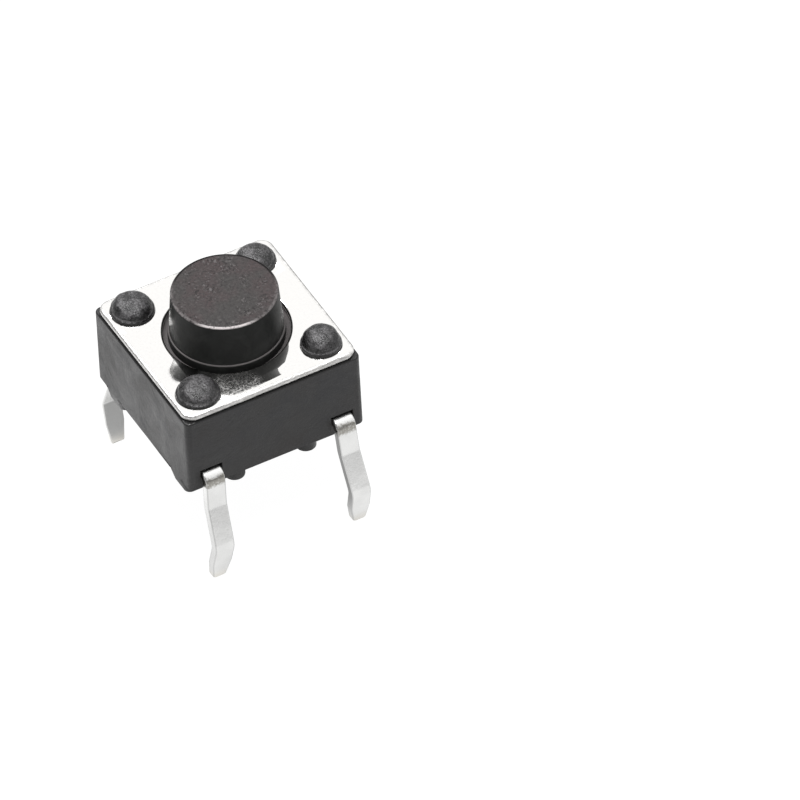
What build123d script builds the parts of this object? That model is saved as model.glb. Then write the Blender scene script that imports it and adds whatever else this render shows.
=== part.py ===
from build123d import *
from math import radians, tan
import os

# A tactile push switch for a printed circuit board: square housing, round button, four kinked legs.
# The board's face is z = 0. The switch stands above it and its legs go down through it.
# The legs leave the housing at +X and -X. The other two sides are plain. Sizes are in millimetres.

# Housing, outside
BODY_WIDTH = 6.0
BODY_CORNER_RADIUS = 0.2
WALL_HEIGHT = 2.75
WALL_CLEARANCE = 0.5            # the walls end this far above the board
RIM_EDGE_RADIUS = 0.06

# Housing, underside: two ridges and four arms stand on the board
CHANNEL_WIDTH = 1.8             # between the ridges
CHANNEL_DEPTH = 0.25
CHANNEL_END_WALL = 0.4
CHANNEL_CORNER_RADIUS = 0.2
RIDGE_WIDTH = 0.65
RIDGE_SETBACK = 0.2             # from the leg sides to the ridge ends
ARM_WIDTH = 1.05                # where it meets the housing
ARM_DRAFT = 0.11                # an arm's end and inner side lean in this much, down to the board
ARM_CORNER_RADIUS = 0.2
GATE_POCKET_LENGTH = 1.1
GATE_POCKET_WIDTH = 1.2
GATE_POCKET_DEPTH = 0.15
GATE_POCKET_X = 1.8
NOTCH_DEPTH = 0.45              # from a leg side to the inner end of a leg's notch
NOTCH_CLEARANCE = 0.05          # on each side of a leg
NOTCH_HEADROOM = 0.1            # above a leg's root

# Housing, inside
FLOOR_HEIGHT = 1.3              # the well's floor, above the board
WALL_THICKNESS = 0.75           # round the well, at its thinnest
WELL_EDGE_CHAMFER = 0.08

# Heat-staked posts that hold the cover
POST_INSET = 0.885              # from the housing's sides to a post's axis
POST_DIAMETER = 1.0
HEAD_DIAMETER = 1.32
HEAD_HEIGHT = 0.42
HEAD_SIDE_HEIGHT = 0.14         # of a head's upright side, under its crown
HEAD_EDGE_RADIUS = 0.15

# Cover plate
PLATE_SETBACK = 0.05            # its edges from the housing's sides
PLATE_THICKNESS = 0.2
PLATE_CORNER_RADIUS = 0.4
PLATE_EDGE_RADIUS = 0.06
POST_CLEARANCE = 0.03           # all round a post in its plate hole

# Button
BUTTON_RISE = 1.55              # its top above the plate
BUTTON_TAPER = 0.1              # how much the stem draws in on each side, up to its top
BUTTON_TOP_EDGE_RADIUS = 0.1
LEDGE_HEIGHT = 0.1              # the ledge at the stem's foot, above the plate
LEDGE_WIDTH = 0.05
GUIDE_CLEARANCE = 0.15          # round the straight part that runs in the plate's hole
FLANGE_THICKNESS = 0.5
FLANGE_COVER = 0.15             # the flange under the plate, all round its hole
FLANGE_CLEARANCE = 0.15         # round the flange in the well
FLANGE_GAP = 0.02               # between the flange and the plate, at rest
FLANGE_EDGE_CHAMFER = 0.08
NUB_DIAMETER = 1.5
NUB_TIP_HEIGHT = 0.25
NUB_GAP = 0.02                  # between the nub and the dome, at rest
TRAVEL = 0.25

# Snap dome
DOME_CLEARANCE = 0.25           # round the dome in the well
DOME_THICKNESS = 0.08

# Terminals
STRIP_THICKNESS = 0.3
STRIP_COVER = 0.2               # plastic over the strips, under the well's floor
LEG_WIDTH = 0.65
LEG_ROW_SPACING = 4.5           # between the two legs of one side
ROOT_OUT = 0.26                 # how far a leg's outer face stands off the housing at its root,
SHIN_OUT = 0.38                 # at the first bend,
KNEE_OUT = 0.9                  # at the knee,
TIP_OUT = 0.5                   # and at the tip
SHIN_DEPTH = 0.15               # depth of the first bend below the board's face,
KNEE_DEPTH = 1.45               # of the knee,
LEG_LENGTH = 2.9                # and of the tip
ROOT_BEND_RADIUS = 0.22         # along the middle of the metal, as the next two
SHIN_BEND_RADIUS = 0.6
KNEE_BEND_RADIUS = 0.45
TIP_WIDTH = 0.42
TIP_TAPER_LENGTH = 0.7
TIP_CORNER_RADIUS = 0.12

# Sideways lean of each leg, in degrees towards +Y, by the signs of its side and its row
LEG_LEANS = {
    (1, -1): -3.0,
    (1, 1): 2.0,
    (-1, -1): -1.5,
    (-1, 1): 0.0,
}

# Contacts
TONGUE_WIDTH = 0.9
CENTRE_CONTACT_DIAMETER = 0.8
CENTRE_CONTACT_RISE = 0.05      # above the well's floor
FINGER_SPACING = 2.6
FINGER_WIDTH = 0.7
FINGER_LENGTH = 1.4             # from the middle of its strip
PAD_LENGTH = 0.6

# Heights and places that follow from the sizes
HALF_BODY = BODY_WIDTH / 2
WELL_DIAMETER = BODY_WIDTH - 2 * WALL_THICKNESS
DOME_DIAMETER = WELL_DIAMETER - 2 * DOME_CLEARANCE
FLANGE_DIAMETER = WELL_DIAMETER - 2 * FLANGE_CLEARANCE
PLATE_HOLE_DIAMETER = FLANGE_DIAMETER - 2 * FLANGE_COVER
GUIDE_DIAMETER = PLATE_HOLE_DIAMETER - 2 * GUIDE_CLEARANCE
BUTTON_FOOT_DIAMETER = GUIDE_DIAMETER - 2 * LEDGE_WIDTH
BUTTON_TOP_DIAMETER = BUTTON_FOOT_DIAMETER - 2 * BUTTON_TAPER
PLATE_WIDTH = BODY_WIDTH - 2 * PLATE_SETBACK
POST_SPACING = BODY_WIDTH - 2 * POST_INSET
RIM_HEIGHT = WALL_CLEARANCE + WALL_HEIGHT
PLATE_TOP = RIM_HEIGHT + PLATE_THICKNESS
BUTTON_TOP = PLATE_TOP + BUTTON_RISE
FLANGE_TOP = RIM_HEIGHT - FLANGE_GAP
STRIP_TOP = FLOOR_HEIGHT - STRIP_COVER
STRIP_MIDDLE = STRIP_TOP - STRIP_THICKNESS / 2
STRIP_BOTTOM = STRIP_TOP - STRIP_THICKNESS
ROW_Y = LEG_ROW_SPACING / 2
NOTCH_INNER_X = HALF_BODY - NOTCH_DEPTH
NOTCH_TOP = STRIP_TOP + NOTCH_HEADROOM
DOME_RISE = TRAVEL + CENTRE_CONTACT_RISE
DOME_TOP = FLOOR_HEIGHT + DOME_RISE + DOME_THICKNESS
SIDES = (-1, 1)


def block(x_range, y_range, z_range):
    """A box between two corners, given as ranges along the three axes."""
    size = [high - low for low, high in (x_range, y_range, z_range)]
    corner = Vector(x_range[0], y_range[0], z_range[0])
    return Pos(corner) * Box(*size, align=(Align.MIN, Align.MIN, Align.MIN))


def disc(diameter, bottom, top):
    """An upright cylinder on the switch's axis."""
    standing = (Align.CENTER, Align.CENTER, Align.MIN)
    return Pos(0, 0, bottom) * Cylinder(diameter / 2, top - bottom, align=standing)


def rounded_slab(width, radius, bottom, top):
    """A square slab with rounded upright edges."""
    return extrude(Pos(0, 0, bottom) * RectangleRounded(width, width, radius), top - bottom)


def cap_radius(half_width, height):
    """The radius of the sphere that a cap of this half width and height is cut from."""
    return (half_width ** 2 + height ** 2) / (2 * height)


def post_places():
    """The four posts' places, as moves from the switch's axis."""
    return GridLocations(POST_SPACING, POST_SPACING, 2, 2)


def leg_band():
    """Side view of a strip with its two legs: one band of sheet metal, bent down at both ends."""
    inset = HALF_BODY - STRIP_THICKNESS / 2
    right = [
        (inset + ROOT_OUT, STRIP_MIDDLE),
        (inset + SHIN_OUT, -SHIN_DEPTH),
        (inset + KNEE_OUT, -KNEE_DEPTH),
        (inset + TIP_OUT, -LEG_LENGTH),
    ]
    left = [(-x, z) for x, z in reversed(right)]
    radii = [ROOT_BEND_RADIUS, SHIN_BEND_RADIUS, KNEE_BEND_RADIUS]
    middle = FilletPolyline(*left, *right, radius=list(reversed(radii)) + radii)
    return trace(middle, line_width=STRIP_THICKNESS)


def leg_outline(side, row):
    """Front view of one leg: straight, leaning a little sideways, tapered to its tip."""
    lean = tan(radians(LEG_LEANS[(side, row)]))

    def edge(sign, width, z):
        drop = max(STRIP_BOTTOM - z, 0)
        return (lean * drop + sign * width / 2, z)

    taper_z = TIP_TAPER_LENGTH - LEG_LENGTH
    tip_z = -LEG_LENGTH
    points = [
        edge(-1, LEG_WIDTH, STRIP_TOP),
        edge(-1, LEG_WIDTH, STRIP_BOTTOM),
        edge(-1, LEG_WIDTH, taper_z),
        edge(-1, TIP_WIDTH, tip_z),
        edge(1, TIP_WIDTH, tip_z),
        edge(1, LEG_WIDTH, taper_z),
        edge(1, LEG_WIDTH, STRIP_BOTTOM),
        edge(1, LEG_WIDTH, STRIP_TOP),
    ]
    outline = make_face(Polyline(*points, close=True))
    tips = outline.vertices().group_by(Axis.Y)[0]
    return fillet(tips, TIP_CORNER_RADIUS)


def strip_with_legs(row):
    """One row's strip through the housing and its leg on each side."""
    reach = HALF_BODY + KNEE_OUT + STRIP_THICKNESS
    band = extrude(Plane.XZ * leg_band(), LEG_WIDTH, both=True)
    envelope = Part()
    for side in SIDES:
        envelope += extrude(Plane.YZ * leg_outline(side, row), side * reach)
    return Pos(0, row * ROW_Y, 0) * (band & envelope)


def make_centre_terminal():
    """The terminal whose tongue ends in the contact under the dome's crown."""
    terminal = strip_with_legs(-1)
    tongue = block((-TONGUE_WIDTH / 2, TONGUE_WIDTH / 2), (-ROW_Y, 0), (STRIP_BOTTOM, STRIP_TOP))
    tongue += disc(TONGUE_WIDTH, STRIP_BOTTOM, STRIP_TOP)
    contact = disc(CENTRE_CONTACT_DIAMETER, STRIP_TOP, FLOOR_HEIGHT + CENTRE_CONTACT_RISE)
    contact = fillet(contact.edges().sort_by(Axis.Z)[-1], CENTRE_CONTACT_RISE)
    return terminal + tongue + contact


def make_rim_terminal():
    """The terminal whose two fingers end in the pads under the dome's rim."""
    terminal = strip_with_legs(1)
    for side in SIDES:
        middle = side * FINGER_SPACING / 2
        sides = (middle - FINGER_WIDTH / 2, middle + FINGER_WIDTH / 2)
        end = ROW_Y - FINGER_LENGTH
        terminal += block(sides, (end, ROW_Y), (STRIP_BOTTOM, STRIP_TOP))
        terminal += block(sides, (end, end + PAD_LENGTH), (STRIP_TOP, FLOOR_HEIGHT))
    return terminal


def make_ridge(row):
    """One of the two round-ended ridges along the channel."""
    length = BODY_WIDTH - 2 * RIDGE_SETBACK
    middle = row * (CHANNEL_WIDTH + RIDGE_WIDTH) / 2
    plan = Pos(0, middle) * SlotOverall(length, RIDGE_WIDTH)
    return extrude(plan, WALL_CLEARANCE)


def make_arm(side, row):
    """One of the four arms, from a ridge out to a plain side. Its end and its inner side lean in."""
    root = row * (CHANNEL_WIDTH + RIDGE_WIDTH) / 2
    inner_x = NOTCH_INNER_X - ARM_WIDTH

    def rectangle(draft, height):
        x = sorted((side * (inner_x + draft), side * NOTCH_INNER_X))
        y = sorted((root, row * (HALF_BODY - draft)))
        plan = Rectangle(x[1] - x[0], y[1] - y[0], align=(Align.MIN, Align.MIN))
        return Pos(x[0], y[0], height) * plan

    arm = loft([rectangle(ARM_DRAFT, 0), rectangle(0, WALL_CLEARANCE)])
    end = arm.faces().sort_by(Axis.Y)[-1 if row > 0 else 0]
    corners = end.edges().filter_by(lambda edge: abs(edge.tangent_at(0).X) < abs(edge.tangent_at(0).Z))
    return fillet(corners, ARM_CORNER_RADIUS)


def make_notch(side, row):
    """The room for a leg's root, open downwards and to its side."""
    half_width = LEG_WIDTH / 2 + NOTCH_CLEARANCE
    reach = sorted((side * NOTCH_INNER_X, side * BODY_WIDTH))
    sides = (row * ROW_Y - half_width, row * ROW_Y + half_width)
    return block(reach, sides, (0, NOTCH_TOP))


def make_channel():
    """The recess between the ridges, with the moulding gate's pocket in it."""
    length = BODY_WIDTH - 2 * CHANNEL_END_WALL
    plan = Pos(0, 0, WALL_CLEARANCE) * RectangleRounded(length, CHANNEL_WIDTH, CHANNEL_CORNER_RADIUS)
    channel = extrude(plan, CHANNEL_DEPTH)
    depth = CHANNEL_DEPTH + GATE_POCKET_DEPTH
    gate_plan = RectangleRounded(GATE_POCKET_LENGTH, GATE_POCKET_WIDTH, CHANNEL_CORNER_RADIUS)
    channel += extrude(Pos(GATE_POCKET_X, 0, WALL_CLEARANCE) * gate_plan, depth)
    return channel


def make_post():
    """A post from the rim through the plate, with the head that was melted over it."""
    shaft = disc(POST_DIAMETER, RIM_HEIGHT, PLATE_TOP)
    head_top = PLATE_TOP + HEAD_HEIGHT
    radius = cap_radius(HEAD_DIAMETER / 2, HEAD_HEIGHT - HEAD_SIDE_HEIGHT)
    crown = Pos(0, 0, head_top - radius) * Sphere(radius)
    head = disc(HEAD_DIAMETER, PLATE_TOP, head_top) & crown
    shoulder = head.edges().filter_by(GeomType.CIRCLE).group_by(SortBy.RADIUS)[0].sort_by(Axis.Z)[-1]
    return shaft + fillet(shoulder, HEAD_EDGE_RADIUS)


def make_base(terminals):
    """The moulded housing, with the terminals' shapes left free in it."""
    base = rounded_slab(BODY_WIDTH, BODY_CORNER_RADIUS, WALL_CLEARANCE, RIM_HEIGHT)
    base = fillet(base.faces().sort_by(Axis.Z)[-1].edges(), RIM_EDGE_RADIUS)
    well = disc(WELL_DIAMETER, FLOOR_HEIGHT, RIM_HEIGHT)
    base -= well
    mouth = base.edges().filter_by(GeomType.CIRCLE).group_by(SortBy.RADIUS)[-1].sort_by(Axis.Z)[-1]
    base = chamfer(mouth, WELL_EDGE_CHAMFER)
    base -= make_channel()
    for row in SIDES:
        base += make_ridge(row)
        for side in SIDES:
            base += make_arm(side, row)
    for row in SIDES:
        for side in SIDES:
            base -= make_notch(side, row)
    for place in post_places():
        base += place * make_post()
    for terminal in terminals:
        base -= terminal
    return base


def make_cover_plate():
    """The square metal plate with the button's hole and the four post holes."""
    plate = rounded_slab(PLATE_WIDTH, PLATE_CORNER_RADIUS, RIM_HEIGHT, PLATE_TOP)
    outline = plate.faces().sort_by(Axis.Z)[0].edges() + plate.faces().sort_by(Axis.Z)[-1].edges()
    plate = fillet(outline, PLATE_EDGE_RADIUS)
    plate -= disc(PLATE_HOLE_DIAMETER, RIM_HEIGHT, PLATE_TOP)
    for place in post_places():
        plate -= place * disc(POST_DIAMETER + 2 * POST_CLEARANCE, RIM_HEIGHT, PLATE_TOP)
    return plate


def make_button():
    """The button: tapered stem, straight guide, flange under the plate and nub over the dome."""
    flange_bottom = FLANGE_TOP - FLANGE_THICKNESS
    stem_foot = PLATE_TOP + LEDGE_HEIGHT
    half_outline = Polyline(
        (0, BUTTON_TOP),
        (BUTTON_TOP_DIAMETER / 2, BUTTON_TOP),
        (BUTTON_FOOT_DIAMETER / 2, stem_foot),
        (GUIDE_DIAMETER / 2, stem_foot),
        (GUIDE_DIAMETER / 2, FLANGE_TOP),
        (FLANGE_DIAMETER / 2, FLANGE_TOP),
        (FLANGE_DIAMETER / 2, flange_bottom),
        (0, flange_bottom),
        close=True,
    )
    button = revolve(Plane.XZ * make_face(half_outline), Axis.Z)
    button = fillet(button.edges().filter_by(GeomType.CIRCLE).sort_by(Axis.Z)[-1], BUTTON_TOP_EDGE_RADIUS)
    rims = button.edges().filter_by(GeomType.CIRCLE).group_by(SortBy.RADIUS)[-1]
    button = chamfer(rims, FLANGE_EDGE_CHAMFER)
    nub_end = DOME_TOP + NUB_GAP
    radius = cap_radius(NUB_DIAMETER / 2, NUB_TIP_HEIGHT)
    tip = Pos(0, 0, nub_end + radius) * Sphere(radius)
    return button + (disc(NUB_DIAMETER, nub_end, flange_bottom) & tip)


def make_snap_dome():
    """The round spring disc, a shallow cap of even thickness that stands on its rim."""
    radius = cap_radius(DOME_DIAMETER / 2, DOME_RISE)
    centre_z = FLOOR_HEIGHT + DOME_RISE - radius
    shell = Pos(0, 0, centre_z) * (Sphere(radius + DOME_THICKNESS) - Sphere(radius))
    return shell & disc(DOME_DIAMETER, FLOOR_HEIGHT, DOME_TOP)


centre_terminal = make_centre_terminal()
rim_terminal = make_rim_terminal()
nodes = {
    "base": make_base([centre_terminal, rim_terminal]),
    "cover_plate": make_cover_plate(),
    "button": make_button(),
    "snap_dome": make_snap_dome(),
    "centre_terminal": centre_terminal,
    "rim_terminal": rim_terminal,
}

os.makedirs("parts", exist_ok=True)
for name, shape in nodes.items():
    export_step(shape, f"parts/{name}.step")
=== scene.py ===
from math import cos, radians, sin, tan, tau

import bmesh
import bpy
from mathutils import Matrix, Vector


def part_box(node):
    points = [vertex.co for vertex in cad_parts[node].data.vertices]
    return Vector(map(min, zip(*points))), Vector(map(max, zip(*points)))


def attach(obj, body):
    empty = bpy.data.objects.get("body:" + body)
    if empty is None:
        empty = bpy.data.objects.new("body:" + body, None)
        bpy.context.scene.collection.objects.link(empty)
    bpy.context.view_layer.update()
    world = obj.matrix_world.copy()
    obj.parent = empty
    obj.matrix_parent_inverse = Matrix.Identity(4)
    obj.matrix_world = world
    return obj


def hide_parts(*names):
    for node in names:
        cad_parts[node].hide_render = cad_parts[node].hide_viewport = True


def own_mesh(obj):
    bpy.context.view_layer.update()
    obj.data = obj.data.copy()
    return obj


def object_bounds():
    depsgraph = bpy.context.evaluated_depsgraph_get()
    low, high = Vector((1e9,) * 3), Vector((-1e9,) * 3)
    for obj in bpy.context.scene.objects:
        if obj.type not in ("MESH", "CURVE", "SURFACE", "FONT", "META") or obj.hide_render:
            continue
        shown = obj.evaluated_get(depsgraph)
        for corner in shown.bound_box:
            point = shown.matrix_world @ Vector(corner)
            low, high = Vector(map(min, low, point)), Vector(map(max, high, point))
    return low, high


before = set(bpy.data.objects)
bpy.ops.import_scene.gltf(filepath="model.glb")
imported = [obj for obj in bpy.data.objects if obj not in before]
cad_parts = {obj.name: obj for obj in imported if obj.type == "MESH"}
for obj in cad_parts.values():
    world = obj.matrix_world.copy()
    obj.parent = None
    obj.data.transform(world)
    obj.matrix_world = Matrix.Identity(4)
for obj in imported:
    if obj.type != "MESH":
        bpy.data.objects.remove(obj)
cad_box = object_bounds()

bl_info = {
    "name": "Tactile push switch",
    "version": (1, 0, 0),
    "blender": (4, 5, 0),
    "location": "View3D > Sidebar > Push switch",
    "description": "Finishes a small through-hole push switch: moulded housing, staked cover, button and legs",
    "category": "Object",
}

# Lengths are in metres, as the frame's are. Patterns in materials are sized in millimetres.
MM = 0.001
BODY = "switch_body"
PLUNGER = "plunger"
COVER_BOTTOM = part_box("cover_plate")[0].z
COVER_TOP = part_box("cover_plate")[1].z
COVER_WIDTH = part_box("cover_plate")[1].x * 2
BUTTON_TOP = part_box("button")[1].z
NUB_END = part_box("button")[0].z
FLANGE_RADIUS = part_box("button")[1].x
LEG_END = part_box("centre_terminal")[0].z
FLOOR_Z = cad_box[0].z

# Level directions in the photograph: towards the camera, and across to the picture's right.
FORWARD = (0.9, -0.44, 0.0)
ACROSS = (0.44, 0.9, 0.0)

# How finely curves are divided.
TURNED_STEPS = 144
POST_HOLE_STEPS = 48
CORNER_STEPS = 16
ROUNDING_STEPS = 6
EDGE_STEPS = 3

# How meshes are cleaned up: edges sharper than an angle stay sharp, and points nearer than a length become one.
SMOOTH_ANGLE = radians(50)
FLAT_ANGLE = radians(0.5)
SAME_POINT = 0.0005 * MM
STRIP_WELD = 0.006 * MM
ROOT_WELD = 0.01 * MM

WHITE = (1.0, 1.0, 1.0, 1.0)


class Value:
    """What one node gives, with Python's arithmetic. It works in materials and in geometry trees."""

    def __init__(self, nodes, socket):
        self.nodes = nodes
        self.socket = socket

    def __add__(self, other):
        return self.nodes.maths("ADD", self, other)

    def __radd__(self, other):
        return self.nodes.maths("ADD", other, self)

    def __sub__(self, other):
        return self.nodes.maths("SUBTRACT", self, other)

    def __rsub__(self, other):
        return self.nodes.maths("SUBTRACT", other, self)

    def __mul__(self, other):
        return self.nodes.maths("MULTIPLY", self, other)

    def __truediv__(self, other):
        return self.nodes.maths("DIVIDE", self, other)

    def __pow__(self, other):
        return self.nodes.maths("POWER", self, other)

    def __abs__(self):
        return self.nodes.maths("ABSOLUTE", self)


class Nodes:
    """A node tree, and the one way to add a node to it."""

    def __init__(self, tree):
        self.tree = tree
        self.tree.nodes.clear()

    def node(self, kind, inputs=None, output=0, **settings):
        """Adds a node, sets it, fills its inputs with values or links, and returns one output."""
        made = self.tree.nodes.new(kind)
        for name, setting in settings.items():
            setattr(made, name, setting)
        for name, value in (inputs or {}).items():
            self.fill(made.inputs[name], value)
        return Value(self, made.outputs[output]) if made.outputs else None

    def fill(self, socket, value):
        """Gives a socket a link or a plain value."""
        if isinstance(value, Value):
            self.tree.links.new(value.socket, socket)
        else:
            socket.default_value = value

    def maths(self, operation, *values):
        """A Math node on one or two numbers."""
        return self.node("ShaderNodeMath", dict(enumerate(values)), operation=operation)

    def vector_maths(self, operation, *vectors, output=0):
        """A Vector Math node on one or two vectors."""
        return self.node("ShaderNodeVectorMath", dict(enumerate(vectors)), output, operation=operation)

    def dot(self, first, second):
        """The dot product of two vectors."""
        return self.vector_maths("DOT_PRODUCT", first, second, output="Value")

    def scaled(self, vector, factor):
        """A vector times a number."""
        return self.node("ShaderNodeVectorMath", {0: vector, "Scale": factor}, operation="SCALE")

    def parts(self, vector):
        """The x, y and z of a vector."""
        made = self.node("ShaderNodeSeparateXYZ", {0: vector}).socket.node
        return [Value(self, output) for output in made.outputs]

    def joined(self, x, y, z):
        """A vector from three numbers."""
        return self.node("ShaderNodeCombineXYZ", {0: x, 1: y, 2: z})

    def distance(self, x, y, centre=(0.0, 0.0)):
        """How far a place is from a centre, both given by their x and y."""
        x, y = x - centre[0], y - centre[1]
        return self.maths("SQRT", x * x + y * y)

    def noise(self, at, scale, detail=2.0, roughness=0.5, distortion=0.0):
        """Soft noise between 0 and 1."""
        inputs = {"Vector": at, "Scale": scale, "Detail": detail, "Roughness": roughness, "Distortion": distortion}
        return self.node("ShaderNodeTexNoise", inputs)

    def between(self, value, low, high, start=0.0, end=1.0):
        """Goes smoothly from start to end as value goes from low to high, which may be the lower of the two."""
        inputs = {"Value": value, "From Min": low, "From Max": high, "To Min": start, "To Max": end}
        return self.node("ShaderNodeMapRange", inputs, interpolation_type="SMOOTHSTEP")

    def band(self, value, start, full, fade, end):
        """Rises to 1 as value goes from start to full, and falls back to 0 as it goes from fade to end."""
        return self.between(value, start, full) * self.between(value, end, fade)


class Shader(Nodes):
    """A material's or the world's nodes."""

    def __init__(self, owner):
        owner.use_nodes = True
        super().__init__(owner.node_tree)
        self.owner = owner

    def millimetres(self):
        """The place on the piece, in millimetres."""
        place = self.node("ShaderNodeTexCoord", output="Object")
        return self.scaled(place, 1 / MM)

    def facing(self):
        """The direction that the surface faces."""
        return self.node("ShaderNodeNewGeometry", output="Normal")

    def backfacing(self):
        """1 on the back of a face."""
        return self.node("ShaderNodeNewGeometry", output="Backfacing")

    def light_path(self, name):
        """One of Light Path's tests."""
        return self.node("ShaderNodeLightPath", output=name)

    def mix(self, factor, first, second):
        """A colour between two colours."""
        inputs = {0: factor, 6: self.coloured(first), 7: self.coloured(second)}
        return self.node("ShaderNodeMix", inputs, 2, data_type="RGBA", clamp_factor=True)

    def coloured(self, colour):
        """A colour as a socket takes it."""
        return colour if isinstance(colour, Value) else (*colour, 1.0)

    def white(self, kind, strength):
        """A white light of a strength."""
        return self.node(kind, {"Color": WHITE, "Strength": strength})

    def mix_surfaces(self, factor, first, second):
        """A surface between two surfaces."""
        return self.node("ShaderNodeMixShader", {0: factor, 1: first, 2: second})

    def bump(self, relief, lean=(0.0, 0.0, 0.0)):
        """The surface's direction over a relief in millimetres, leant over by a vector."""
        facing = self.vector_maths("NORMALIZE", self.vector_maths("ADD", self.facing(), lean))
        return self.node("ShaderNodeBump", {"Height": relief, "Distance": MM, "Strength": 1.0, "Normal": facing})

    def finish(self, surface):
        """Joins a surface to the output and returns the material or world."""
        kind = "World" if isinstance(self.owner, bpy.types.World) else "Material"
        self.node("ShaderNodeOutput" + kind, {"Surface": surface})
        return self.owner

    def finish_principled(self, inputs):
        """Ends the tree with a Principled surface and returns the material."""
        return self.finish(self.node("ShaderNodeBsdfPrincipled", inputs))


class Shape(Nodes):
    """A Geometry Nodes tree with named inputs, run to give a plain mesh."""

    def __init__(self, name, inputs):
        tree = bpy.data.node_groups.new(name, "GeometryNodeTree")
        super().__init__(tree)
        self.sockets = {}
        for label, kind in inputs.items():
            socket = tree.interface.new_socket(label, in_out="INPUT", socket_type="NodeSocket" + kind)
            self.sockets[label] = socket.identifier
        tree.interface.new_socket("Geometry", in_out="OUTPUT", socket_type="NodeSocketGeometry")
        self.entry = tree.nodes.new("NodeGroupInput")

    def given(self, label):
        """One of the named inputs."""
        return Value(self, self.entry.outputs[label])

    def finish(self, geometry):
        """Ends the tree with its instances made real and its material on them."""
        real = self.node("GeometryNodeRealizeInstances", {0: geometry})
        finished = self.node("GeometryNodeSetMaterial", {"Geometry": real, "Material": self.given("Material")})
        self.node("NodeGroupOutput", {0: finished})

    def mesh(self, values):
        """Runs the tree with these values for its inputs and returns a plain mesh."""
        host = add_object("host", bpy.data.meshes.new("host"))
        modifier = host.modifiers.new("shape", "NODES")
        modifier.node_group = self.tree
        for label, value in values.items():
            modifier[self.sockets[label]] = value
        made = evaluated_mesh(host)
        bpy.data.objects.remove(host)
        return made


def tinted(colour, tint):
    """A colour times a number, or times a number for each of its channels."""
    channels = tint if isinstance(tint, tuple) else (tint,) * len(colour)
    return tuple(channel * factor for channel, factor in zip(colour, channels))


def add_object(name, data):
    """An object at the origin, in the scene."""
    made = bpy.data.objects.new(name, data)
    bpy.context.scene.collection.objects.link(made)
    return made


def evaluated_mesh(made):
    """An object's mesh as its modifiers leave it, as a new plain mesh."""
    return bpy.data.meshes.new_from_object(made.evaluated_get(bpy.context.evaluated_depsgraph_get()))


def shaped_mesh(name, shape):
    """A mesh from a bmesh that is done with: faces outwards, smooth except at sharp edges."""
    bmesh.ops.recalc_face_normals(shape, faces=shape.faces)
    mesh = bpy.data.meshes.new(name)
    shape.to_mesh(mesh)
    shape.free()
    mesh.shade_smooth()
    mesh.set_sharp_from_angle(angle=SMOOTH_ANGLE)
    return mesh


def add_piece(name, mesh, material, body, slot, *replaced, edge_radius=0.0):
    """A finished piece of the switch on its body, in place of the CAD nodes it stands for."""
    piece = add_object(name, mesh)
    if edge_radius:
        bevel = piece.modifiers.new("rounded edges", "BEVEL")
        bevel.width = edge_radius
        bevel.segments = EDGE_STEPS
        bevel.limit_method = "ANGLE"
        bevel.angle_limit = SMOOTH_ANGLE
        bevel.use_clamp_overlap = False
    flat = piece.modifiers.new("flat faces", "WEIGHTED_NORMAL")
    flat.keep_sharp = True
    piece.data = evaluated_mesh(piece)
    piece.modifiers.clear()
    piece.data.materials.clear()
    piece.data.materials.append(material)
    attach(piece, body)
    if replaced:
        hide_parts(*replaced)
    return piece


def merged_copy(node, name, fine=SAME_POINT, coarse=0.0, top=None):
    """A CAD node's form as one closed mesh with whole flat faces, cut off flat at a height if top is given.

    Points nearer to each other than fine become one, and above the board's face those nearer than coarse.
    """
    shape = bmesh.new()
    shape.from_mesh(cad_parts[node].data)
    bmesh.ops.remove_doubles(shape, verts=shape.verts, dist=fine)
    if coarse:
        above_board = [point for point in shape.verts if point.co.z > 0]
        bmesh.ops.remove_doubles(shape, verts=above_board, dist=coarse)
    if top:
        whole = [*shape.verts, *shape.edges, *shape.faces]
        cut = bmesh.ops.bisect_plane(shape, geom=whole, plane_co=(0, 0, top), plane_no=(0, 0, 1), clear_outer=True)
        rims = [part for part in cut["geom_cut"] if isinstance(part, bmesh.types.BMEdge)]
        bmesh.ops.edgeloop_fill(shape, edges=rims)
    bmesh.ops.dissolve_limit(shape, angle_limit=FLAT_ANGLE, verts=shape.verts, edges=shape.edges)
    return shaped_mesh(name, shape)


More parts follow.
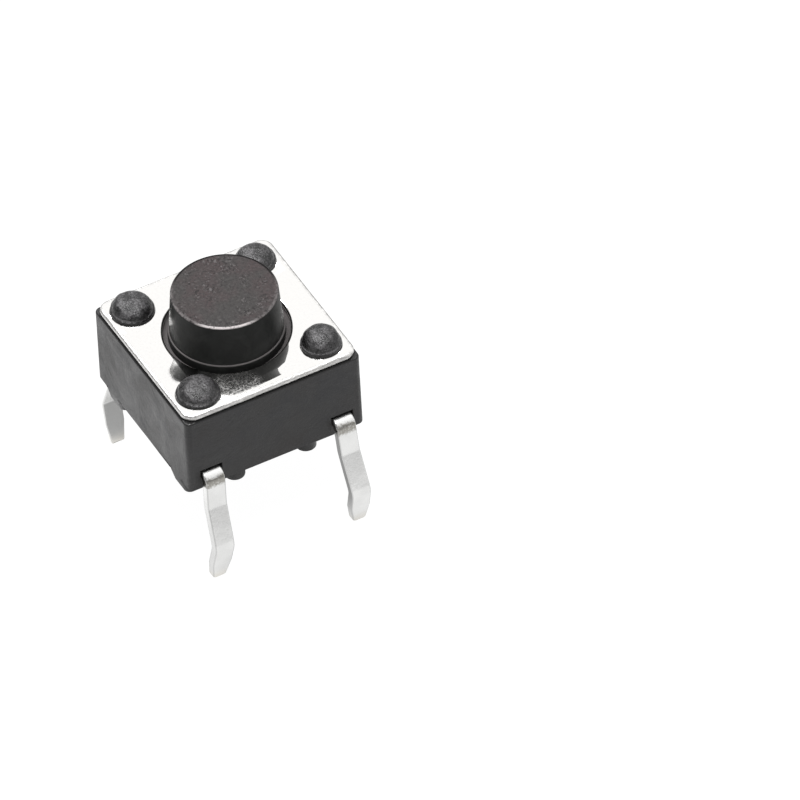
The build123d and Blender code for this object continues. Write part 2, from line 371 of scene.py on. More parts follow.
def moulded_plastic(name, colour, roughness):
    """Black glass-filled plastic: cloudy and pitted, with painted shade under the cover's edge and at the
    right-hand corner.
    """
    shader = Shader(bpy.data.materials.new(name))
    at = shader.millimetres()
    x, y, z = shader.parts(at)
    _, facing_y, _ = shader.parts(shader.facing())
    cloud = shader.noise(at, scale=1.1, detail=4.0, roughness=0.62, distortion=0.6)
    tint = shader.noise(at, scale=0.7)
    grit = shader.noise(at, scale=17.0, detail=3.0, roughness=0.65)
    pits = shader.between(shader.noise(at, scale=5.5, distortion=1.5), 0.7, 0.76)
    flecks = shader.between(shader.noise(at, scale=30.0, detail=1.0), 0.66, 0.78)
    cool, warm = tinted(colour, (0.94, 0.97, 1.1)), tinted(colour, (1.08, 0.99, 0.93))
    tone = shader.mix(shader.between(tint, 0.35, 0.65), cool, warm)
    tone = shader.mix(shader.between(cloud, 0.3, 0.72), tinted(colour, 0.8), tone)
    tone = shader.mix(flecks * 0.4, tone, tinted(colour, 5.0))
    tone = shader.mix(pits * 0.8, tone, tinted(colour, 0.4))
    # Painted shade: faces turned to the picture's right near the +X end are painted darker, as shade at that
    # corner.
    shade_start, shade_full = 2.5, 2.75
    painted_corner_shade = shader.between(facing_y, 0.3, 0.6) * shader.between(x, shade_start, shade_full)
    tone = shader.mix(painted_corner_shade, tone, tinted(colour, 0.35))
    # Painted shade: a dark, rough line in the gap under the cover's edge, fainter towards the corners.
    gap_bottom, gap_top = COVER_BOTTOM / MM - 0.035, COVER_BOTTOM / MM - 0.01
    near_corner, blur, corner_share = COVER_WIDTH / MM - 0.25, 0.04, 0.3
    painted_gap_shade = shader.between(z, gap_bottom, gap_top) * shader.between(
        abs(x) + abs(y), near_corner - blur, near_corner + blur, 1.0, corner_share)
    tone = shader.mix(painted_gap_shade, tone, tinted(colour, 0.1))
    grained = roughness + (cloud - 0.5) * 0.45 + (grit - 0.5) * 0.25
    return shader.finish_principled({
        "Base Color": tone,
        "Roughness": shader.maths("MAXIMUM", painted_gap_shade * 0.95, grained),
        "Normal": shader.bump((grit - 0.5) * 0.012 + (cloud - 0.5) * 0.035 - pits * 0.01),
    })


def melted_plastic(name, colour, roughness):
    """The same plastic where it was melted: wrinkled, with painted highlights on the crown and over the collar and
    painted shade on the flanks.
    """
    shader = Shader(bpy.data.materials.new(name))
    at = shader.millimetres()
    _, _, z = shader.parts(at)
    facing = shader.facing()
    _, _, upward = shader.parts(facing)
    # Painted shade: the flanks of each head, turned across the view, are painted darker.
    painted_flank_shade = shader.between(abs(shader.dot(facing, ACROSS)), 0.1, 0.8)
    cloud = shader.noise(at, scale=2.6, detail=3.0, roughness=0.6)
    smear = shader.noise(at, scale=3.0, detail=4.0, roughness=0.65, distortion=0.3)
    wrinkle = shader.noise(at, scale=7.0, detail=3.0, roughness=0.6, distortion=1.2)
    grit = shader.noise(at, scale=17.0, roughness=0.7)
    specks = shader.between(grit, 0.42, 0.6)
    tone = shader.mix(shader.between(cloud, 0.35, 0.68), tinted(colour, 0.4), tinted(colour, 1.1))
    tone = shader.mix(painted_flank_shade * 0.7, tone, tinted(colour, 0.3))
    # Painted highlight: the upward middle of each head is painted lighter, with more light specks there.
    crown_with_painted_light = shader.between(upward, 0.1, 0.5) * (1.0 - painted_flank_shade) * shader.between(smear, 0.36, 0.6)
    tone = shader.mix(crown_with_painted_light * 0.6, tone, tinted(colour, 5.0))
    tone = shader.mix(specks * (0.1 + crown_with_painted_light * 0.6), tone, tinted(colour, 12.0))
    # Painted highlight: a thin light line round each head over its collar.
    lip_height, lip_width = COVER_TOP / MM + 0.16, 0.03
    painted_lip_highlight = shader.between(abs(z - lip_height), lip_width, 0.0)
    tone = shader.mix(painted_lip_highlight * shader.between(smear, 0.34, 0.54), tone, tinted(colour, 7.0))
    return shader.finish_principled({
        "Base Color": tone,
        "Roughness": roughness + (cloud - 0.5) * 0.2 + (grit - 0.5) * 0.25,
        "Normal": shader.bump(wrinkle * 0.026 + grit * 0.016 + smear * 0.02),
    })


def button_plastic(name, side_colour, top_colour, roughness, top_radius, ledge_height):
    """The button's plastic: smooth and near black at its side; its worn top mottled, and lighter partly as painted
    light from above.
    """
    shader = Shader(bpy.data.materials.new(name))
    at = shader.millimetres()
    x, y, z = shader.parts(at)
    _, _, upward = shader.parts(shader.facing())
    out = shader.distance(x, y) / (top_radius / MM)
    forward = (x * FORWARD[0] + y * FORWARD[1]) / (top_radius / MM)
    top_height, foot_height = BUTTON_TOP / MM, ledge_height / MM
    top = shader.between(upward, 0.2, 0.8) * shader.between(z, top_height - 0.2, top_height - 0.05)
    # Where a painted highlight goes: the upward faces of the ledge at the stem's foot.
    ledge = shader.between(upward, 0.3, 0.8) * shader.between(z, foot_height + 0.1, foot_height)
    cloud = shader.noise(at, scale=1.4, detail=3.0, roughness=0.6, distortion=0.8)
    tint = shader.noise(at, scale=0.9)
    grit = shader.noise(at, scale=11.0, detail=3.0, roughness=0.75)
    worn = shader.between(shader.noise(at, scale=1.3, roughness=0.6, distortion=1.0), 0.5, 0.6)
    flecks = shader.noise(at, scale=9.0, detail=3.0, roughness=0.7, distortion=0.6)
    flecks = shader.between(flecks, 0.5, 0.62)
    # The top is mottled, and it is lighter than the side partly by its finish and partly as painted light from
    # above.
    cool, warm = tinted(top_colour, (0.98, 1.01, 0.99)), tinted(top_colour, (1.09, 0.96, 0.97))
    crown_with_painted_light = shader.mix(shader.between(tint, 0.4, 0.6), cool, warm)
    crown_with_painted_light = shader.mix(shader.between(grit, 0.35, 0.55), tinted(top_colour, 0.72), crown_with_painted_light)
    crown_with_painted_light = shader.mix((0.2 + worn * 0.8) * flecks, crown_with_painted_light, tinted(top_colour, 2.1))
    crown_with_painted_light = shader.mix(worn * shader.between(grit, 0.5, 0.42) * 0.6, crown_with_painted_light, tinted(top_colour, 0.35))
    # Painted highlight: a light, speckled ring round the top's rounded edge, which is also a little smoother.
    rim = shader.between(out, 0.93, 0.98) * shader.between(grit + cloud * 0.5, 0.6, 0.85)
    crown_with_painted_light = shader.mix(rim * 0.8, crown_with_painted_light, tinted(top_colour, 2.8))
    # Painted shade: a dark line along the back of the top's rounded edge.
    painted_back_edge_shade = shader.between(forward, 0.0, -0.5) * shader.between(out, 0.93, 0.955)
    crown_with_painted_light = shader.mix(painted_back_edge_shade, crown_with_painted_light, tinted(top_colour, 0.15))
    # Painted highlight: a bright, broken line along the front of the top's rounded edge.
    painted_front_edge_highlight = shader.between(forward, 0.78, 0.93) * shader.between(out, 0.95, 0.965)
    crown_with_painted_light = shader.mix(painted_front_edge_highlight * shader.between(grit, 0.25, 0.5), crown_with_painted_light, tinted(top_colour, 9.0))
    stem = shader.mix(shader.between(cloud, 0.35, 0.7), tinted(side_colour, 0.85), tinted(side_colour, 1.25))
    # Painted highlight along the ledge.
    stem = shader.mix(ledge * 0.8, stem, tinted(top_colour, 2.0))
    relief = (grit - 0.5) * (0.002 + top * 0.014) + cloud * 0.004 + flecks * worn * top * 0.01
    return shader.finish_principled({
        "Base Color": shader.mix(top, stem, crown_with_painted_light),
        "Roughness": roughness + top * 0.04 + (cloud - 0.5) * 0.16 + (grit - 0.5) * 0.15 - rim * 0.12,
        "Specular IOR Level": 0.07,
        "Normal": shader.bump(relief),
    })


def bright_sheet(name, colour, roughness, post_place, head_radii):
    """Tin-plated sheet: nearly a mirror, scuffed, brushed and painted darker at its edges, leaning before the
    heads, with a painted dark reflection and painted contact shadows.
    """
    shader = Shader(bpy.data.materials.new(name))
    at = shader.millimetres()
    x, y, z = shader.parts(at)
    waves = shader.noise(at, scale=0.5)
    speckle = shader.noise(at, scale=11.0, detail=3.0, roughness=0.65)
    patches = shader.noise(at, scale=1.3, detail=3.0, roughness=0.6)
    streaks = shader.noise(shader.joined(x * 3.0, y * 3.0, z * 25.0), scale=2.2, detail=3.0, roughness=0.6)
    scuff_centre, painted_reflection_centre = (2.3, -0.95), (1.1, -2.0)
    scuff = shader.distance(x, y, scuff_centre) + (patches - 0.5) * 0.8
    scuff = shader.between(scuff, 1.0, 0.5)
    dull = scuff * (0.6 + shader.between(speckle, 0.35, 0.65) * 0.6)
    # Painted reflection: a dark, speckled patch between the button and the near head, standing in for the button's
    # side mirrored in the sheet.
    painted_dark_reflection = shader.distance(x, y, painted_reflection_centre) + (patches - 0.5) * 0.5
    painted_dark_reflection = shader.between(painted_dark_reflection, 0.52, 0.3) * shader.between(speckle, 0.2, 0.5, 0.6, 0.85)
    half = COVER_WIDTH / 2 / MM
    drawn_start, brushed_start, brushed_full = half - 0.3, half - 0.14, half - 0.06
    drawn = shader.between(x, drawn_start, half)
    edge = shader.between(shader.maths("MAXIMUM", abs(x), abs(y)), brushed_start, brushed_full)
    post_x, post_y = abs(x) - post_place / MM, abs(y) - post_place / MM
    head_radius = shader.between(y, -0.1, 0.1, max(head_radii) / MM, min(head_radii) / MM)
    from_head = shader.distance(post_x, post_y) - head_radius
    sign_x, sign_y = shader.maths("SIGN", x), shader.maths("SIGN", y)
    before_head = sign_x * post_x * FORWARD[0] + sign_y * post_y * FORWARD[1]
    lean = shader.between(from_head, 0.5, 0.05) * shader.between(before_head, -0.1, 0.4) * 0.3
    tone = shader.mix(shader.between(speckle, 0.35, 0.75), colour, tinted(colour, 0.97))
    # Along the edges the sheet is brushed, rough and streaked, and the streaks are also painted darker as shade on
    # the rounded edge.
    tone = shader.mix(edge * shader.between(streaks, 0.3, 0.6), tone, tinted(colour, 0.6))
    # Painted shadow: a thin dark ring on the sheet round the foot of each head.
    painted_contact_shadow = shader.between(from_head, 0.03, 0.0)
    tone = shader.mix(painted_contact_shadow, tone, tinted(colour, 0.08))
    # Painted dark reflection.
    tone = shader.mix(painted_dark_reflection, tone, tinted(colour, 0.05))
    relief = waves * 0.015 + (speckle - 0.5) * (0.0002 + scuff * 0.004) - drawn * 0.03 + streaks * edge * 0.008
    return shader.finish_principled({
        "Base Color": tone,
        "Metallic": 1.0,
        "Roughness": roughness + dull * 0.24 + edge * 0.36,
        "Normal": shader.bump(relief, shader.scaled(FORWARD, lean)),
    })


def plated_strip(name, colour, roughness):
    """Satin plated strip: fine draw lines, a painted dark reflection below the root bend, painted shade on the
    rounded edges and a hint of brass at the sheared tips.
    """
    shader = Shader(bpy.data.materials.new(name))
    at = shader.millimetres()
    x, y, z = shader.parts(at)
    _, facing_y, _ = shader.parts(shader.facing())
    lines = shader.noise(shader.joined(x * 2.0, y * 26.0, z), scale=1.0, detail=3.0, roughness=0.6)
    cloud = shader.noise(at, scale=1.6, detail=3.0, roughness=0.55)
    grit = shader.noise(at, scale=14.0, roughness=0.6)
    stain = shader.noise(at, scale=5.0, detail=4.0, roughness=0.7, distortion=0.8)
    brass_colour, root_reflection_colour = (0.86, 0.78, 0.62), (0.25, 0.235, 0.2)
    leg_end, brass_height = LEG_END / MM, 0.5
    root_heights, edge_slopes = (0.74, 0.86, 1.04, 1.16), (0.2, 0.5, 0.9, 0.99)
    tone = shader.mix(shader.between(cloud, 0.3, 0.75), colour, tinted(colour, 0.93))
    brass = shader.between(z, leg_end + brass_height, leg_end)
    tone = shader.mix(brass * 0.3, tone, brass_colour)
    # Painted reflection: a dark, grainy band just below the highlight on the root bend.
    painted_root_reflection = shader.band(z + stain * 0.3, *root_heights) * shader.between(grit, 0.25, 0.5, 0.5, 1.0)
    tone = shader.mix(painted_root_reflection * 0.8, tone, root_reflection_colour)
    # Painted shade: the rounded edges that turn sideways are painted darker.
    edges = shader.band(abs(facing_y), *edge_slopes)
    tone = shader.mix(edges * 0.5, tone, tinted(colour, 0.55))
    return shader.finish_principled({
        "Base Color": tone,
        "Metallic": 1.0,
        "Roughness": roughness + (cloud - 0.5) * 0.08 + (grit - 0.5) * 0.12,
        "Normal": shader.bump(lines * 0.003 + cloud * 0.006 + grit * (0.002 + painted_root_reflection * 0.006)),
    })


def arc(centre, radius, start, end, steps):
    """Points along an arc, both ends included. Angles are in radians."""
    angles = [start + (end - start) * step / steps for step in range(steps + 1)]
    return [(centre[0] + radius * cos(angle), centre[1] + radius * sin(angle)) for angle in angles]


def rounded_outline(corners):
    """A line through corners with arcs for their roundings. A corner is a radius, a height and a rounding."""
    points = []
    for index, (x, z, rounding) in enumerate(corners):
        corner = Vector((x, z))
        if not rounding:
            points.append(corner)
            continue
        before = (Vector(corners[index - 1][:2]) - corner).normalized()
        after = (Vector(corners[index + 1][:2]) - corner).normalized()
        half = before.angle(after) / 2
        centre = corner + (before + after).normalized() * (rounding / sin(half))
        start = corner + before * (rounding / tan(half)) - centre
        end = corner + after * (rounding / tan(half)) - centre
        for step in range(ROUNDING_STEPS + 1):
            points.append(centre + start.lerp(end, step / ROUNDING_STEPS).normalized() * rounding)
    return points


def turned(name, outline):
    """A closed mesh from an outline turned round the Z axis. The outline starts and ends on the axis."""
    shape = bmesh.new()
    rings = []
    for x, z in outline:
        turns = [step / TURNED_STEPS * tau for step in range(TURNED_STEPS if x else 1)]
        rings.append([shape.verts.new((x * cos(turn), x * sin(turn), z)) for turn in turns])
    for low, high in zip(rings, rings[1:]):
        for step in range(TURNED_STEPS):
            after = step + 1
            corners = [low[step % len(low)], low[after % len(low)], high[after % len(high)], high[step % len(high)]]
            shape.faces.new(list(dict.fromkeys(corners)))
    return shaped_mesh(name, shape)


class SwitchSizes(bpy.types.PropertyGroup):
    """Sizes that the CAD forms don't give."""

    top_diameter: bpy.props.FloatProperty(
        name="Button top", description="Diameter of the button's top", default=3.3 * MM, unit="LENGTH", precision=5)
    foot_diameter: bpy.props.FloatProperty(
        name="Button foot", description="Diameter of the stem at its ledge", default=3.5 * MM,
        unit="LENGTH", precision=5)
    guide_diameter: bpy.props.FloatProperty(
        name="Button guide", description="Diameter of the part that runs in the cover's hole", default=3.6 * MM,
        unit="LENGTH", precision=5)
    nub_diameter: bpy.props.FloatProperty(
        name="Button nub", description="Diameter of the nub under the button", default=1.5 * MM,
        unit="LENGTH", precision=5)
    flange_gap: bpy.props.FloatProperty(
        name="Flange gap", description="Gap between the button's flange and the cover", default=0.02 * MM,
        unit="LENGTH", precision=5)
    flange_thickness: bpy.props.FloatProperty(
        name="Flange thickness", description="Height of the button's flange", default=0.5 * MM,
        unit="LENGTH", precision=5)
    ledge_height: bpy.props.FloatProperty(
        name="Ledge height", description="Height of the button's ledge over the cover", default=0.1 * MM,
        unit="LENGTH", precision=5)
    housing_edge: bpy.props.FloatProperty(
        name="Housing edge", description="Rounding of the housing's edges", default=0.015 * MM,
        unit="LENGTH", precision=5)
    leg_edge: bpy.props.FloatProperty(
        name="Leg edge", description="Rounding of the terminals' edges", default=0.045 * MM,
        unit="LENGTH", precision=5)
    cover_hole: bpy.props.FloatProperty(
        name="Cover hole", description="Diameter of the cover's hole round the button", default=3.9 * MM,
        unit="LENGTH", precision=5)
    post_hole: bpy.props.FloatProperty(
        name="Post hole", description="Diameter of the cover's holes for the posts", default=1.06 * MM,
        unit="LENGTH", precision=5)
    cover_corner: bpy.props.FloatProperty(
        name="Cover corner", description="Radius of the cover's corners", default=0.4 * MM,
        unit="LENGTH", precision=5)
    cover_edge: bpy.props.FloatProperty(
        name="Cover edge", description="Rounding of the cover's edges", default=0.08 * MM,
        unit="LENGTH", precision=5)
    post_spacing: bpy.props.FloatProperty(
        name="Post spacing", description="Distance between neighbouring posts", default=4.23 * MM,
        unit="LENGTH", precision=5)
    head_diameters: bpy.props.FloatVectorProperty(
        name="Head diameters", description="Of the melted heads, left and near, then back and right", size=4,
        default=(1.37 * MM, 1.36 * MM, 1.28 * MM, 1.27 * MM), unit="LENGTH", precision=5)
    head_heights: bpy.props.FloatVectorProperty(
        name="Head heights", description="Of the melted heads over the cover, in the same order", size=4,
        default=(0.5 * MM, 0.46 * MM, 0.46 * MM, 0.58 * MM), unit="LENGTH", precision=5)
    head_lumps: bpy.props.FloatProperty(
        name="Head lumps", description="Depth of the lumps in a melted head", default=0.036 * MM,
        unit="LENGTH", precision=5)


class SwitchFinishes(bpy.types.PropertyGroup):
    """Colours and finishes."""

    housing_colour: bpy.props.FloatVectorProperty(
        name="Housing", description="Colour of the housing's plastic", default=(0.0145, 0.014, 0.0145),
        subtype="COLOR")
    housing_roughness: bpy.props.FloatProperty(
        name="Housing roughness", description="Mean roughness of the housing", default=0.42, subtype="FACTOR")
    head_roughness: bpy.props.FloatProperty(
        name="Head roughness", description="Mean roughness of the melted heads", default=0.32, subtype="FACTOR")
    button_colour: bpy.props.FloatVectorProperty(
        name="Button side", description="Colour of the button's side", default=(0.016, 0.0165, 0.016),
        subtype="COLOR")
    # The button top is lighter than its side partly as painted light from above and partly by its mottled finish.
    top_colour: bpy.props.FloatVectorProperty(
        name="Button top", description="Colour of the button's top", default=(0.069, 0.064, 0.064), subtype="COLOR")
    button_roughness: bpy.props.FloatProperty(
        name="Button roughness", description="Mean roughness of the button", default=0.46, subtype="FACTOR")
    cover_colour: bpy.props.FloatVectorProperty(
        name="Cover", description="Colour of the plated cover", default=(0.96, 0.948, 0.93), subtype="COLOR")
    cover_roughness: bpy.props.FloatProperty(
        name="Cover roughness", description="Roughness of the clean cover", default=0.03, subtype="FACTOR")
    leg_colour: bpy.props.FloatVectorProperty(
        name="Legs", description="Colour of the plated legs", default=(0.9, 0.9, 0.89), subtype="COLOR")
    leg_roughness: bpy.props.FloatProperty(
        name="Leg roughness", description="Mean roughness of the legs", default=0.24, subtype="FACTOR")
    dome_roughness: bpy.props.FloatProperty(
        name="Dome roughness", description="Mean roughness of the snap dome", default=0.3, subtype="FACTOR")


class SwitchStage(bpy.types.PropertyGroup):
    """Where the camera is and what it aims at."""

    azimuth: bpy.props.FloatProperty(
        name="Azimuth", description="Camera's turn round the switch", default=radians(63.99), subtype="ANGLE")
    elevation: bpy.props.FloatProperty(
        name="Elevation", description="Camera's angle above the floor", default=radians(43.88), subtype="ANGLE")
    roll: bpy.props.FloatProperty(
        name="Roll", description="Camera's turn about its own line", default=radians(-3.36), subtype="ANGLE")
    distance: bpy.props.FloatProperty(
        name="Distance", description="From the camera to what it aims at", default=1.0, unit="LENGTH")
    frame_width: bpy.props.FloatProperty(
        name="Picture width", description="Width of what the picture shows at the switch", default=24.284 * MM,
        unit="LENGTH", precision=5)
    aim_right: bpy.props.FloatProperty(
        name="Aim right", description="What the camera aims at, right of the switch's axis", default=5.103 * MM,
        unit="LENGTH", precision=5)
    aim_up: bpy.props.FloatProperty(
        name="Aim up", description="What the camera aims at, above the board's face", default=0.297 * MM,
        unit="LENGTH", precision=5)


class PieceOperator:
    """What the operators that make pieces share."""

    bl_options = {"REGISTER", "UNDO"}

    def execute(self, context):
        self.make(context.scene.switch_sizes, context.scene.switch_finishes)
        return {"FINISHED"}


class SWITCH_OT_housing(PieceOperator, bpy.types.Operator):
    """Make the moulded housing from its CAD form, with its posts cut off under the heads"""

    bl_idname = "push_switch.housing"
    bl_label = "Housing"

    def make(self, sizes, finishes):
        material = moulded_plastic("housing_plastic", tuple(finishes.housing_colour), finishes.housing_roughness)
        mesh = merged_copy("base", "housing", top=(COVER_BOTTOM + COVER_TOP) / 2)
        add_piece("housing", mesh, material, BODY, "base_plastic", "base", edge_radius=sizes.housing_edge)


class SWITCH_OT_heads(PieceOperator, bpy.types.Operator):
    """Make the four melted post heads over the cover"""

    bl_idname = "push_switch.heads"
    bl_label = "Staked heads"

    def make(self, sizes, finishes):
        material = melted_plastic("staked_plastic", tuple(finishes.housing_colour), finishes.head_roughness)
        tree = self.head_tree()
        half = sizes.post_spacing / 2
        places = [(-half, -half), (half, -half), (-half, half), (half, half)]
        joined = bmesh.new()
        for (x, y), diameter, height in zip(places, sizes.head_diameters, sizes.head_heights):
            mesh = tree.mesh({
                "Radius": diameter / 2,
                "Height": height,
                "Place": (x, y, COVER_TOP),
                "Lumps": sizes.head_lumps,
                "Material": material,
            })
            joined.from_mesh(mesh)
        add_piece("staked_heads", shaped_mesh("staked_heads", joined), material, BODY, "base_plastic")

    def head_tree(self):
        """The Geometry Nodes tree of one head: a squarish dome on a collar, lumpy all over."""
        shape = Shape("Staked head", {
            "Radius": "Float", "Height": "Float", "Place": "Vector", "Lumps": "Float", "Material": "Material"})
        around, along = 96, 48
        grid = shape.node("GeometryNodeMeshGrid", {"Vertices X": around + 1, "Vertices Y": along + 1})
        u, v, _ = shape.parts(shape.node("GeometryNodeInputPosition"))
        turn = (u + 0.5) * tau
        row = (v + 0.5) * along
        lift = shape.maths("MAXIMUM", row - 1.0, 0.0) / (along - 1) * (tau / 4)
        squareness = 0.72
        height = shape.maths("SINE", lift) ** squareness
        wide = shape.maths("MAXIMUM", shape.maths("COSINE", lift), 0.0) ** squareness
        collar_height, cap_height, cap_width = 0.22, 0.34, 0.93
        narrowed = shape.between(height, collar_height, cap_height, 1.0, cap_width)
        radius = shape.maths("MINIMUM", row, 1.0) * wide * narrowed * shape.given("Radius")
        x, y = radius * shape.maths("COSINE", turn), radius * shape.maths("SINE", turn)
        place = shape.joined(x, y, height * shape.given("Height"))
        head = shape.node("GeometryNodeSetPosition", {"Geometry": grid, "Position": place})
        head = shape.node("GeometryNodeMergeByDistance", {"Geometry": head, "Distance": SAME_POINT})
        head = shape.node("GeometryNodeTransform", {"Geometry": head, "Translation": shape.given("Place")})
        at = shape.node("GeometryNodeInputPosition")
        lumps = shape.noise(at, scale=1.9 / MM, roughness=0.6) - 0.5
        dents = shape.noise(at, scale=6.0 / MM) - 0.5
        depth = (lumps * 1.8 + dents) * shape.given("Lumps")
        push = shape.scaled(shape.node("GeometryNodeInputNormal"), depth)
        head = shape.node("GeometryNodeSetPosition", {"Geometry": head, "Offset": push})
        shape.finish(head)
        return shape


class SWITCH_OT_cover(PieceOperator, bpy.types.Operator):
    """Make the bright metal cover with its five holes and rounded edges"""

    bl_idname = "push_switch.cover"
    bl_label = "Cover"

    def make(self, sizes, finishes):
        flat = bpy.data.curves.new("cover", "CURVE")
        flat.dimensions = "2D"
        flat.fill_mode = "BOTH"
        flat.bevel_depth = sizes.cover_edge
        flat.bevel_resolution = EDGE_STEPS
        flat.offset = -sizes.cover_edge
        flat.extrude = (COVER_TOP - COVER_BOTTOM) / 2 - sizes.cover_edge
        half, radius = COVER_WIDTH / 2, sizes.cover_corner
        outline = []
        for quarter in range(4):
            start = quarter * tau / 4
            centre = Vector((half - radius, half - radius)) @ Matrix.Rotation(-start, 2)
            outline += arc(centre, radius, start, start + tau / 4, CORNER_STEPS)
        self.add_loop(flat, outline)
        self.add_loop(flat, arc((0, 0), sizes.cover_hole / 2, 0, tau, TURNED_STEPS)[:-1])
        post = sizes.post_spacing / 2
        for x in (-post, post):
            for y in (-post, post):
                self.add_loop(flat, arc((x, y), sizes.post_hole / 2, 0, tau, POST_HOLE_STEPS)[:-1])
        host = add_object("cover", flat)
        shape = bmesh.new()
        shape.from_mesh(evaluated_mesh(host))
        bpy.data.objects.remove(host)
        bmesh.ops.remove_doubles(shape, verts=shape.verts, dist=SAME_POINT)
        bmesh.ops.translate(shape, verts=shape.verts, vec=(0, 0, (COVER_BOTTOM + COVER_TOP) / 2))
        head_radii = [diameter / 2 for diameter in sizes.head_diameters]
        colour = tuple(finishes.cover_colour)
        material = bright_sheet("cover_tin", colour, finishes.cover_roughness, post, head_radii)
        add_piece("cover", shaped_mesh("cover", shape), material, BODY, "cover_metal", "cover_plate")

    def add_loop(self, flat, points):
        """Adds a closed line to the flat curve. A line inside another is a hole."""
        line = flat.splines.new("POLY")
        line.points.add(len(points) - 1)
        for point, (x, y) in zip(line.points, points):
            point.co = (x, y, 0, 1)
        line.use_cyclic_u = True


class SWITCH_OT_button(PieceOperator, bpy.types.Operator):
    """Make the push button, turned about its axis"""

    bl_idname = "push_switch.button"
    bl_label = "Button"

    def make(self, sizes, finishes):
        nub, guide = sizes.nub_diameter / 2, sizes.guide_diameter / 2
        foot, top = sizes.foot_diameter / 2, sizes.top_diameter / 2
        tip, tip_height, nub_height = nub * 0.6, NUB_END + 0.06 * MM, NUB_END + 0.25 * MM
        flange_top = COVER_BOTTOM - sizes.flange_gap
        flange_bottom = flange_top - sizes.flange_thickness
        ledge = COVER_TOP + sizes.ledge_height
        flange_edge, guide_edge, foot_edge, top_edge = 0.08 * MM, 0.045 * MM, 0.01 * MM, 0.07 * MM
        outline = rounded_outline([
            (0, NUB_END, 0),
            (tip, tip_height, 0),
            (nub, nub_height, 0),
            (nub, flange_bottom, 0),
            (FLANGE_RADIUS, flange_bottom, flange_edge),
            (FLANGE_RADIUS, flange_top, flange_edge),
            (guide, flange_top, 0),
            (guide, ledge, guide_edge),
            (foot, ledge, foot_edge),
            (top, BUTTON_TOP, top_edge),
            (0, BUTTON_TOP, 0),
        ])
        colours = tuple(finishes.button_colour), tuple(finishes.top_colour)
        material = button_plastic("button_plastic", *colours, finishes.button_roughness, top, ledge)
        add_piece("push_button", turned("push_button", outline), material, PLUNGER, "button_plastic", "button")


class SWITCH_OT_dome(PieceOperator, bpy.types.Operator):
    """Make the snap dome from its CAD form"""

    bl_idname = "push_switch.dome"
    bl_label = "Snap dome"

    def make(self, sizes, finishes):
        material = plated_strip("dome_silver", tuple(finishes.leg_colour), finishes.dome_roughness)
        dome = add_piece("dome", merged_copy("snap_dome", "dome"), material, BODY, "dome_metal", "snap_dome")
        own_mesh(dome)


class SWITCH_OT_terminals(PieceOperator, bpy.types.Operator):
    """Make the two terminals from their CAD forms, with rounded edges"""

    bl_idname = "push_switch.terminals"
    bl_label = "Terminals"

    def make(self, sizes, finishes):
        material = plated_strip("leg_plating", tuple(finishes.leg_colour), finishes.leg_roughness)
        for node in ("centre_terminal", "rim_terminal"):
            name = node.replace("terminal", "strip")
            mesh = merged_copy(node, name, fine=STRIP_WELD, coarse=ROOT_WELD)
            add_piece(name, mesh, material, BODY, "terminal_metal", node, edge_radius=sizes.leg_edge)


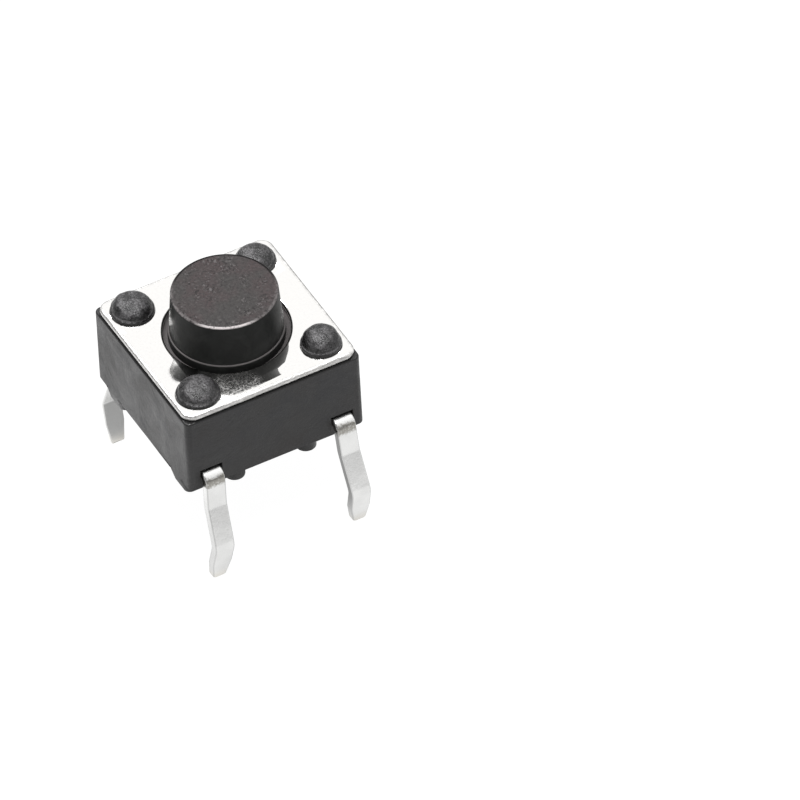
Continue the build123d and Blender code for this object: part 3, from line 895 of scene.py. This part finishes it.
class SWITCH_OT_stage(bpy.types.Operator):
    """Set the floor, the light and the camera"""

    bl_idname = "push_switch.stage"
    bl_label = "Stage"
    bl_options = {"REGISTER", "UNDO"}

    def execute(self, context):
        self.place_camera(context)
        self.make_world(context)
        self.make_floor()
        self.make_lamps()
        context.scene.view_settings.view_transform = "Standard"
        return {"FINISHED"}

    def place_camera(self, context):
        """The camera, far off with a narrow view."""
        stage = context.scene.switch_stage
        level = Vector((sin(stage.azimuth), -cos(stage.azimuth), 0))
        back = level * cos(stage.elevation) + Vector((0, 0, sin(stage.elevation)))
        right = Vector((cos(stage.azimuth), sin(stage.azimuth), 0))
        up = back.cross(right)
        rolled_right = right * cos(stage.roll) + up * sin(stage.roll)
        rolled_up = up * cos(stage.roll) - right * sin(stage.roll)
        aim = rolled_right * stage.aim_right + rolled_up * stage.aim_up
        lens = bpy.data.cameras.new("camera")
        lens.lens = lens.sensor_width * stage.distance / stage.frame_width
        lens.clip_start = stage.distance / 10
        lens.clip_end = stage.distance * 4
        camera = add_object("camera", lens)
        turn = Matrix((rolled_right, rolled_up, back)).transposed()
        camera.matrix_world = Matrix.Translation(aim + back * stage.distance) @ turn.to_4x4()
        context.scene.camera = camera

    def make_world(self, context):
        """White for the camera, a bright overhead tent over a dim room for gloss, and even light for the rest."""
        world = bpy.data.worlds.new("light_tent")
        context.scene.world = world
        shader = Shader(world)
        direction = shader.node("ShaderNodeTexCoord", output="Generated")
        _, _, height = shader.parts(direction)
        above, behind, ahead = (
            shader.dot(direction, tuple(Vector(towards).normalized()))
            for towards in ((-0.35, 0.1, 0.93), (0.3, 0.75, 0.6), (0.8, -0.2, 0.55)))
        tent = shader.maths("MAXIMUM", shader.between(above, 0.45, 0.72), shader.between(behind, 0.6, 0.85))
        dim_room = shader.between(ahead, 0.2, 0.9, 0.1, 0.36)
        horizon = shader.between(height, 0.05, 0.2, 0.5, 0.0)
        gloss = shader.maths("MAXIMUM", tent * 1.05 + (1.0 - tent) * dim_room, horizon)
        even, reflected, seen = (shader.white("ShaderNodeBackground", strength) for strength in (0.5, gloss, 1.0))
        surface = shader.mix_surfaces(shader.light_path("Is Glossy Ray"), even, reflected)
        shader.finish(shader.mix_surfaces(shader.light_path("Is Camera Ray"), surface, seen))

    def make_floor(self):
        """A pale floor that shows white, keeps a soft shadow, has a painted shadow under the switch in reflections
        and can be looked through from below.
        """
        half_width = 0.6
        corners = ((-1, -1), (1, -1), (1, 1), (-1, 1))
        mesh = bpy.data.meshes.new("floor")
        mesh.from_pydata([(x * half_width, y * half_width, FLOOR_Z) for x, y in corners], [], [(0, 1, 2, 3)])
        shader = Shader(bpy.data.materials.new("pale_floor"))
        matte = shader.node("ShaderNodeBsdfDiffuse", {"Color": (0.85, 0.85, 0.85, 1)})
        x, y, _ = shader.parts(shader.millimetres())
        out = shader.distance(x, y)
        # In reflections the floor glows brighter behind the switch than in front, dimmer far off, and is painted
        # darker round the switch as its shadow.
        near_glow_with_painted_shadow = shader.between(x, -3.0, 5.0, 1.3, 0.92) * shader.between(out, 2.5, 5.0, 0.3, 1.0)
        far_glow = shader.between(out, 9.0, 40.0, 1.3, 0.47)
        glow = shader.maths("MINIMUM", near_glow_with_painted_shadow, far_glow)
        camera = shader.light_path("Is Camera Ray")
        white = shader.white("ShaderNodeEmission", camera * 1.1 + (1.0 - camera) * glow)
        shown = shader.maths("MAXIMUM", camera * 0.88, shader.light_path("Is Glossy Ray"))
        top = shader.mix_surfaces(shown, matte, white)
        clear = shader.node("ShaderNodeBsdfTransparent")
        mesh.materials.append(shader.finish(shader.mix_surfaces(shader.backfacing(), top, clear)))
        add_object("floor", mesh)

    def make_lamps(self):
        """Two broad soft lamps, high behind on the left and low in front, and a strip overhead for highlights."""
        for name, place, width, length, power in (
            ("back_lamp", (-0.16, -0.02, 0.26), 0.11, 0.11, 0.36),
            ("side_lamp", (0.02, -0.28, 0.12), 0.2, 0.2, 0.04),
            ("strip_lamp", (0.047, -0.023, 0.295), 0.035, 0.16, 0.5),
        ):
            lamp = bpy.data.lights.new(name, "AREA")
            lamp.shape = "ELLIPSE"
            lamp.size = width
            lamp.size_y = length
            lamp.energy = power
            made = add_object(name, lamp)
            made.location = place
            made.rotation_euler = Vector(place).to_track_quat("Z", "Y").to_euler()


PIECE_OPERATORS = (
    SWITCH_OT_housing,
    SWITCH_OT_heads,
    SWITCH_OT_cover,
    SWITCH_OT_button,
    SWITCH_OT_dome,
    SWITCH_OT_terminals,
    SWITCH_OT_stage,
)


class SWITCH_PT_panel(bpy.types.Panel):
    """Lists the switch's pieces in the sidebar"""

    bl_idname = "SWITCH_PT_panel"
    bl_label = "Push switch"
    bl_space_type = "VIEW_3D"
    bl_region_type = "UI"
    bl_category = "Push switch"

    def draw(self, context):
        for operator in PIECE_OPERATORS:
            self.layout.operator(operator.bl_idname)


PROPERTY_GROUPS = {"switch_sizes": SwitchSizes, "switch_finishes": SwitchFinishes, "switch_stage": SwitchStage}


def register():
    """Adds the classes and the scene's settings."""
    for made in (*PROPERTY_GROUPS.values(), *PIECE_OPERATORS, SWITCH_PT_panel):
        bpy.utils.register_class(made)
    for name, group in PROPERTY_GROUPS.items():
        setattr(bpy.types.Scene, name, bpy.props.PointerProperty(type=group))


def unregister():
    """Takes them out again."""
    for name in PROPERTY_GROUPS:
        delattr(bpy.types.Scene, name)
    for made in reversed((*PROPERTY_GROUPS.values(), *PIECE_OPERATORS, SWITCH_PT_panel)):
        bpy.utils.unregister_class(made)


def main():
    """Makes every piece and the stage."""
    register()
    for operator in PIECE_OPERATORS:
        group, name = operator.bl_idname.split(".")
        getattr(getattr(bpy.ops, group), name)()


if __name__ == "__main__":
    main()
